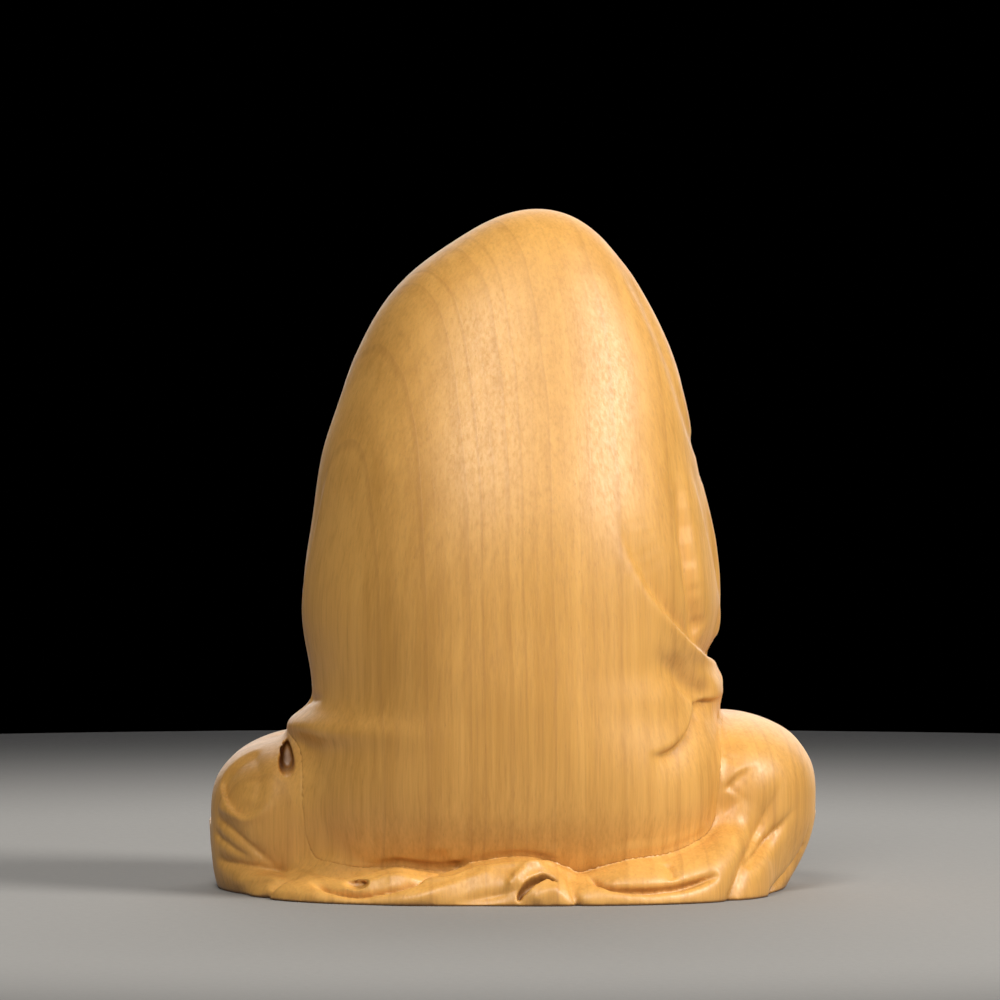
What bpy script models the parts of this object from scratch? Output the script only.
"""A small carved boxwood devotional figure: a veiled person sitting cross-legged, palms together.

Units in this file are millimetres until a vertex is made, and Blender's metres after that. The origin
is the middle of the footprint on the resting plane, +Z is up and the figure faces -Y, so its right
side is at -X. Each object is one carved block. A block gets its own shape first and is then cut back
by the grown shapes of the blocks that sit in or on it, which leaves a glue gap on every joint.
"""

import math

import bmesh
import bpy
from mathutils import Vector

MM = 0.001

# Driving sizes.
HEIGHT = 78.0
KNEE_SPAN = 69.6
GLUE_GAP = 0.3
# Cutting slabs reach this far past the middle, well outside the figure.
SLAB_REACH = 60.0

# The mantle is an egg: upright below its waist and a half ellipsoid above it.
WAIST_Z = 32.2
MANTLE_FOOT_Z = 4.0
CROWN_X = -2.6
CROWN_Y = -2.5
SECTION_POWER = 2.15
MANTLE_SIDES = 44
MANTLE_LEVELS = 26
# (height, half-width to the side, depth to the back, depth to the front), each before the dome narrows it.
MANTLE_STATIONS = (
    (4.0, 22.0, 20.6, 15.0),
    (10.5, 23.5, 23.2, 17.0),
    (22.3, 22.7, 23.8, 18.0),
    (32.2, 23.8, 22.8, 18.5),
    (43.2, 23.2, 21.5, 16.4),
    (53.2, 23.2, 19.5, 15.8),
    (62.2, 23.6, 17.4, 17.8),
    (70.2, 23.4, 16.6, 19.4),
    (75.2, 21.9, 16.2, 19.4),
    (78.0, 21.8, 16.0, 19.0),
)
# Where the mantle's hem turns out over each forearm: side (-1 right, +1 left), height, reach, spread.
HEM_LIPS = ((-1, 22.8, 1.6, 2.2), (1, 18.8, 2.2, 2.6))

# The front opening, as half-widths of the gap at heights from the lap to the top of the hood.
OPENING = (
    (2.0, 21.0),
    (16.4, 19.5),
    (23.2, 17.0),
    (29.2, 12.5),
    (36.2, 8.6),
    (44.2, 6.8),
    (50.2, 6.9),
    (56.2, 8.3),
    (63.2, 8.9),
    (68.2, 7.6),
    (71.7, 4.6),
    (73.2, 0.0),
)
OPENING_BACK_Y = -1.0
FACE_X = -1.2

# Head, neck and the robed chest.
CRANIUM = ((FACE_X, -3.4, 65.0), (9.0, 10.4, 10.2))
JAW = ((FACE_X, -5.6, 58.8), (6.7, 7.2, 7.4))
NECK = ((FACE_X, -2.6, 58.2), (-0.6, -1.4, 45.7), 4.6, 4.6)
TORSO_STATIONS = (
    (9.0, 16.0, 13.0),
    (18.6, 17.0, 14.2),
    (28.2, 17.2, 14.6),
    (36.2, 16.6, 14.2),
    (42.2, 15.0, 12.8),
    (47.2, 11.6, 10.0),
    (50.7, 7.4, 7.4),
    (52.0, 5.8, 6.2),
)
TORSO_Y = -1.0

# One arm, for the left side. Mirror x for the right.
FOREARM = ((14.6, -6.0, 25.2), (4.8, -17.8, 34.8), 5.2, 4.6)
HANGING_CUFF = ((7.4, -17.4, 29.2), (12.6, -14.6, 20.0), 4.8, 5.8)
SEAM_HALF_GAP = 0.15
WRIST = (1.8, -17.6, 32.7)
FINGERTIP = (1.1, -20.8, 49.8)
PALM_HALF = (1.9, 3.4)
PALM_ROUNDING = 0.85
# (share of the hand's length, share of the palm's half-thickness, share of its half-width)
HAND_STATIONS = (
    (0.0, 1.25, 0.62),
    (0.16, 1.2, 0.66),
    (0.34, 1.0, 1.0),
    (0.6, 0.9, 0.98),
    (0.86, 0.72, 0.72),
    (1.0, 0.3, 0.28),
)

# Folded legs under the robe. Each knee: side, centre height, rise above it, section power.
KNEES = ((-1, 10.6, 9.4, 2.6), (1, 7.5, 10.8, 2.9))
KNEE_X = 22.4
KNEE_Y = -5.0
KNEE_DEPTH = 15.5
KNEE_FALL = 14.0
SHINS = ((0.0, -12.0, 7.0), (27.0, 15.2, 9.4))
ROBE_SKIRT = ((0.0, 2.0, 0.0), (31.0, 24.8, 6.0))

BOXWOOD = (0.80, 0.52, 0.22, 1.0)


def clear_scene():
    for obj in list(bpy.data.objects):
        bpy.data.objects.remove(obj, do_unlink=True)


def boxwood():
    material = bpy.data.materials.new("boxwood")
    material.use_nodes = True
    shader = material.node_tree.nodes["Principled BSDF"]
    shader.inputs["Base Color"].default_value = BOXWOOD
    shader.inputs["Roughness"].default_value = 0.42
    shader.inputs["Metallic"].default_value = 0.0
    return material


def smooth_between(stations, z):
    """The columns of stations at height z, by a Catmull-Rom curve through the rows."""
    rows = stations
    if z <= rows[0][0]:
        return rows[0][1:]
    if z >= rows[-1][0]:
        return rows[-1][1:]
    i = max(k for k in range(len(rows) - 1) if rows[k][0] <= z)
    before, low, high, after = (rows[min(max(k, 0), len(rows) - 1)] for k in range(i - 1, i + 3))
    span = high[0] - low[0]
    t = (z - low[0]) / span
    found = []
    for column in range(1, len(low)):
        slope_low = (high[column] - before[column]) / max(high[0] - before[0], 1e-9) * span
        slope_high = (after[column] - low[column]) / max(after[0] - low[0], 1e-9) * span
        found.append(
            (2 * t**3 - 3 * t**2 + 1) * low[column]
            + (t**3 - 2 * t**2 + t) * slope_low
            + (3 * t**2 - 2 * t**3) * high[column]
            + (t**3 - t**2) * slope_high
        )
    return found


def turns(count):
    """Evenly spaced angles, once round."""
    return [2 * math.pi * i / count for i in range(count)]


def signed_power(value, power):
    return math.copysign(abs(value) ** power, value)


def object_from(name, mesh, material):
    """A smooth-shaded object of a bmesh made in millimetres, its normals facing out."""
    bmesh.ops.recalc_face_normals(mesh, faces=mesh.faces)
    data = bpy.data.meshes.new(name)
    mesh.to_mesh(data)
    mesh.free()
    data.transform(((MM, 0, 0, 0), (0, MM, 0, 0), (0, 0, MM, 0), (0, 0, 0, 1)))
    data.shade_smooth()
    data.materials.append(material)
    obj = bpy.data.objects.new(name, data)
    bpy.context.scene.collection.objects.link(obj)
    return obj


def loft(rings):
    """A closed bmesh through rings of points that all have the same count, with a flat cap at each end."""
    mesh = bmesh.new()
    loops = [[mesh.verts.new(point) for point in ring] for ring in rings]
    count = len(loops[0])
    for low, high in zip(loops, loops[1:]):
        for i in range(count):
            j = (i + 1) % count
            mesh.faces.new((low[i], low[j], high[j], high[i]))
    mesh.faces.new(reversed(loops[0]))
    mesh.faces.new(loops[-1])
    return mesh


def box_between(low, high):
    mesh = bmesh.new()
    bmesh.ops.create_cube(mesh, size=1.0)
    for vertex in mesh.verts:
        vertex.co = Vector([low[i] if vertex.co[i] < 0 else high[i] for i in range(3)])
    return mesh


def superellipsoid(centre, radii, power=2.0, fall=None, segments=26, rings=16, grow=0.0):
    """A rounded block: a UV sphere pushed out to a superellipsoid, with its own depth below the centre."""
    mesh = bmesh.new()
    bmesh.ops.create_uvsphere(mesh, u_segments=segments, v_segments=rings, radius=1.0)
    rise = radii[2] + grow
    drop = (fall if fall is not None else radii[2]) + grow
    for vertex in mesh.verts:
        direction = vertex.co.normalized()
        stretch = sum(abs(value) ** power for value in direction) ** (-1 / power)
        point = direction * stretch
        vertex.co = Vector(
            (
                centre[0] + point.x * (radii[0] + grow),
                centre[1] + point.y * (radii[1] + grow),
                centre[2] + point.z * (rise if point.z > 0 else drop),
            )
        )
    return mesh


def tapered_capsule(start, end, start_radius, end_radius, sides=18, cap_rings=4, grow=0.0):
    """A round bar between two points, of two radii, with rounded ends."""
    a, b = Vector(start), Vector(end)
    along = (b - a).normalized()
    across = along.cross(Vector((0, 0, 1))).normalized()
    up = across.cross(along)
    rings = []
    for centre, radius, sense in ((a, start_radius + grow, -1), (b, end_radius + grow, 1)):
        steps = range(cap_rings) if sense < 0 else range(cap_rings - 1, -1, -1)
        for step in steps:
            angle = math.radians(8 + 82 * step / (cap_rings - 1))
            ring_centre = centre + along * (sense * radius * math.cos(angle))
            ring_radius = radius * math.sin(angle)
            rings.append(
                [
                    ring_centre + ring_radius * (across * math.cos(turn) + up * math.sin(turn))
                    for turn in turns(sides)
                ]
            )
    return loft(rings)


def boolean(target, other, operation):
    """Adds a Boolean modifier. The other object stays in the file as a hidden helper."""
    modifier = target.modifiers.new(operation.title() + "_" + other.name, "BOOLEAN")
    modifier.operation = operation
    modifier.solver = "EXACT"
    modifier.object = other
    other.hide_render = True
    other.display_type = "WIRE"


def dome(z):
    """How far the mantle has narrowed at height z: 1 up to the waist, 0 at the crown."""
    rise = min(max((z - WAIST_Z) / (HEIGHT - WAIST_Z), 0.0), 1.0)
    return math.sqrt(max(1.0 - rise * rise, 0.0))


def hem_lip(side, z, sideways):
    """How far the mantle's hem stands out over the forearm on this side at height z."""
    out = 0.0
    for lip_side, lip_z, reach, spread in HEM_LIPS:
        if lip_side == side:
            out += reach * math.exp(-(((z - lip_z) / spread) ** 2)) * sideways**4
    return out


def mantle_ring(z, grow=0.0, sides=MANTLE_SIDES):
    """The outline of the cloaked body at one height: four quarter superellipses about a leaning axis."""
    half_width, back, front = smooth_between(MANTLE_STATIONS, z)
    lean = min(max((z - WAIST_Z) / (HEIGHT - WAIST_Z), 0.0), 1.0) ** 2
    centre_x, centre_y = CROWN_X * lean, CROWN_Y * lean
    narrow = dome(z)
    ring = []
    for angle in turns(sides):
        cosine, sine = math.cos(angle), math.sin(angle)
        side = 1 if cosine > 0 else -1
        reach_x = half_width * narrow + grow + hem_lip(side, z, abs(cosine))
        reach_y = (back if sine > 0 else front) * narrow + grow
        x = centre_x + reach_x * signed_power(cosine, 2 / SECTION_POWER)
        y = centre_y + reach_y * signed_power(sine, 2 / SECTION_POWER)
        ring.append((x, y, z))
    return ring


def egg_levels(count):
    """Heights from the foot to the crown, closer together where the dome closes."""
    turn = math.pi / 2
    share = [math.sin(turn * i / count) for i in range(count)]
    return [MANTLE_FOOT_Z + (HEIGHT - MANTLE_FOOT_Z) * value for value in share] + [HEIGHT - 0.02]


def mantle_egg(grow=0.0, levels=MANTLE_LEVELS, sides=MANTLE_SIDES):
    rings = [mantle_ring(z, grow, sides) for z in egg_levels(levels)]
    if grow:
        rings[0] = [(x, y, MANTLE_FOOT_Z - grow) for x, y, _ in rings[0]]
    return loft(rings)


def opening_prism(shrink=0.0, steps=26):
    """The cutter for the front opening: its outline in the XZ plane, pushed out past the front."""
    low, high = OPENING[0][0], OPENING[-1][0]
    outline = []
    for i in range(steps + 1):
        z = low + (high - low) * math.sin(math.pi / 2 * i / steps)
        half = max(smooth_between(OPENING, z)[0] - shrink, 0.0)
        outline.append((FACE_X * min(z / CRANIUM[0][2], 1.0), half, z - shrink * i / steps))
    left = [(middle + half, z) for middle, half, z in outline]
    right = [(middle - half, z) for middle, half, z in outline[-2::-1]]
    return loft([[(x, y, z) for x, z in left + right] for y in (-SLAB_REACH, OPENING_BACK_Y - shrink)])


def torso_loft(grow=0.0, sides=30):
    rings = []
    for height, half_width, depth in TORSO_STATIONS:
        z = height
        if grow and height == TORSO_STATIONS[0][0]:
            z = height - grow
        if grow and height == TORSO_STATIONS[-1][0]:
            z = height + grow
        rings.append(
            [
                (
                    (half_width + grow) * signed_power(math.cos(angle), 2 / SECTION_POWER),
                    TORSO_Y + (depth + grow) * signed_power(math.sin(angle), 2 / SECTION_POWER),
                    z,
                )
                for angle in turns(sides)
            ]
        )
    return loft(rings)


def mirrored(point, side):
    return (point[0] * side, point[1], point[2])


def arm_bar(bar, side, grow=0.0):
    start, end, start_radius, end_radius = bar
    a, b = mirrored(start, side), mirrored(end, side)
    return tapered_capsule(a, b, start_radius, end_radius, sides=16, cap_rings=3, grow=grow)


def hand_loft(side, grow=0.0, sides=14):
    """A flat hand from the wrist to the fingertips, palm towards the middle plane."""
    a, b = Vector(mirrored(WRIST, side)), Vector(mirrored(FINGERTIP, side))
    along = b - a
    rings = []
    for share, thick, wide in HAND_STATIONS:
        centre = a + along * share
        rings.append(
            [
                (
                    centre.x + (PALM_HALF[0] * thick + grow) * signed_power(math.cos(angle), PALM_ROUNDING),
                    centre.y + (PALM_HALF[1] * wide + grow) * signed_power(math.sin(angle), PALM_ROUNDING),
                    centre.z,
                )
                for angle in turns(sides)
            ]
        )
    return loft(rings)


def middle_plane(side):
    """A slab that takes away everything past the middle plane, leaving half the seam between two sides."""
    near, far = side * SEAM_HALF_GAP, -side * SLAB_REACH
    return box_between((min(near, far), -SLAB_REACH, 0.0), (max(near, far), SLAB_REACH, HEIGHT))


def floor_slab():
    """Everything below the resting plane."""
    return box_between((-SLAB_REACH, -SLAB_REACH, -SLAB_REACH), (SLAB_REACH, SLAB_REACH, 0.0))


def build_hand(side, name, wood):
    hand = object_from(name, hand_loft(side), wood)
    boolean(hand, object_from(name + "_seam", middle_plane(side), wood), "DIFFERENCE")
    return hand


def build_sleeve(side, name, wood):
    sleeve = object_from(name, arm_bar(FOREARM, side), wood)
    boolean(sleeve, object_from(name + "_cuff", arm_bar(HANGING_CUFF, side), wood), "UNION")
    boolean(sleeve, object_from(name + "_seam", middle_plane(side), wood), "DIFFERENCE")
    boolean(sleeve, object_from(name + "_socket", hand_loft(side, GLUE_GAP), wood), "DIFFERENCE")
    return sleeve


def sleeve_cutters(owner, wood):
    """The grown shapes of both sleeves, to cut the owner back from them."""
    for side in (-1, 1):
        for part, bar in (("forearm", FOREARM), ("cuff", HANGING_CUFF)):
            cutter = object_from(f"{owner.name}_{part}_{side}", arm_bar(bar, side, GLUE_GAP), wood)
            boolean(owner, cutter, "DIFFERENCE")


def build_head(wood):
    head = object_from("head", superellipsoid(*CRANIUM, segments=22, rings=14), wood)
    boolean(head, object_from("head_jaw", superellipsoid(*JAW, segments=20, rings=12), wood), "UNION")
    boolean(head, object_from("head_neck", tapered_capsule(*NECK, sides=16, cap_rings=3), wood), "UNION")
    return head


def head_cutters(owner, wood):
    for part, mesh in (
        ("cranium", superellipsoid(*CRANIUM, segments=22, rings=14, grow=GLUE_GAP)),
        ("jaw", superellipsoid(*JAW, segments=20, rings=12, grow=GLUE_GAP)),
        ("neck", tapered_capsule(*NECK, sides=16, cap_rings=3, grow=GLUE_GAP)),
    ):
        boolean(owner, object_from(f"{owner.name}_{part}", mesh, wood), "DIFFERENCE")


def build_torso(wood):
    torso = object_from("torso", torso_loft(), wood)
    head_cutters(torso, wood)
    sleeve_cutters(torso, wood)
    return torso


def build_mantle(wood):
    mantle = object_from("mantle", mantle_egg(), wood)
    boolean(mantle, object_from("mantle_opening", opening_prism(), wood), "DIFFERENCE")
    boolean(mantle, object_from("mantle_torso", torso_loft(GLUE_GAP), wood), "DIFFERENCE")
    head_cutters(mantle, wood)
    sleeve_cutters(mantle, wood)
    return mantle


def build_leg_drapery(wood):
    legs = object_from("leg_drapery", superellipsoid(*ROBE_SKIRT, power=2.6, segments=40, rings=12), wood)
    shins = superellipsoid(*SHINS, power=2.3, segments=30, rings=14)
    boolean(legs, object_from("leg_shins", shins, wood), "UNION")
    for side, centre_z, rise, power in KNEES:
        knee = superellipsoid(
            (side * KNEE_X, KNEE_Y, centre_z),
            (KNEE_SPAN / 2 - KNEE_X, KNEE_DEPTH, rise),
            power=power,
            fall=KNEE_FALL,
            segments=26,
            rings=16,
        )
        boolean(legs, object_from(f"leg_knee_{side}", knee, wood), "UNION")
    boolean(legs, object_from("leg_floor", floor_slab(), wood), "DIFFERENCE")
    pocket = object_from("leg_mantle_pocket", mantle_egg(GLUE_GAP), wood)
    boolean(pocket, object_from("leg_pocket_front", opening_prism(GLUE_GAP), wood), "DIFFERENCE")
    boolean(legs, pocket, "DIFFERENCE")
    boolean(legs, object_from("leg_torso_seat", torso_loft(GLUE_GAP), wood), "DIFFERENCE")
    sleeve_cutters(legs, wood)
    return legs


def main():
    clear_scene()
    wood = boxwood()
    build_mantle(wood)
    build_head(wood)
    build_torso(wood)
    build_sleeve(-1, "right_sleeve", wood)
    build_sleeve(1, "left_sleeve", wood)
    build_hand(-1, "right_hand", wood)
    build_hand(1, "left_hand", wood)
    build_leg_drapery(wood)


main()
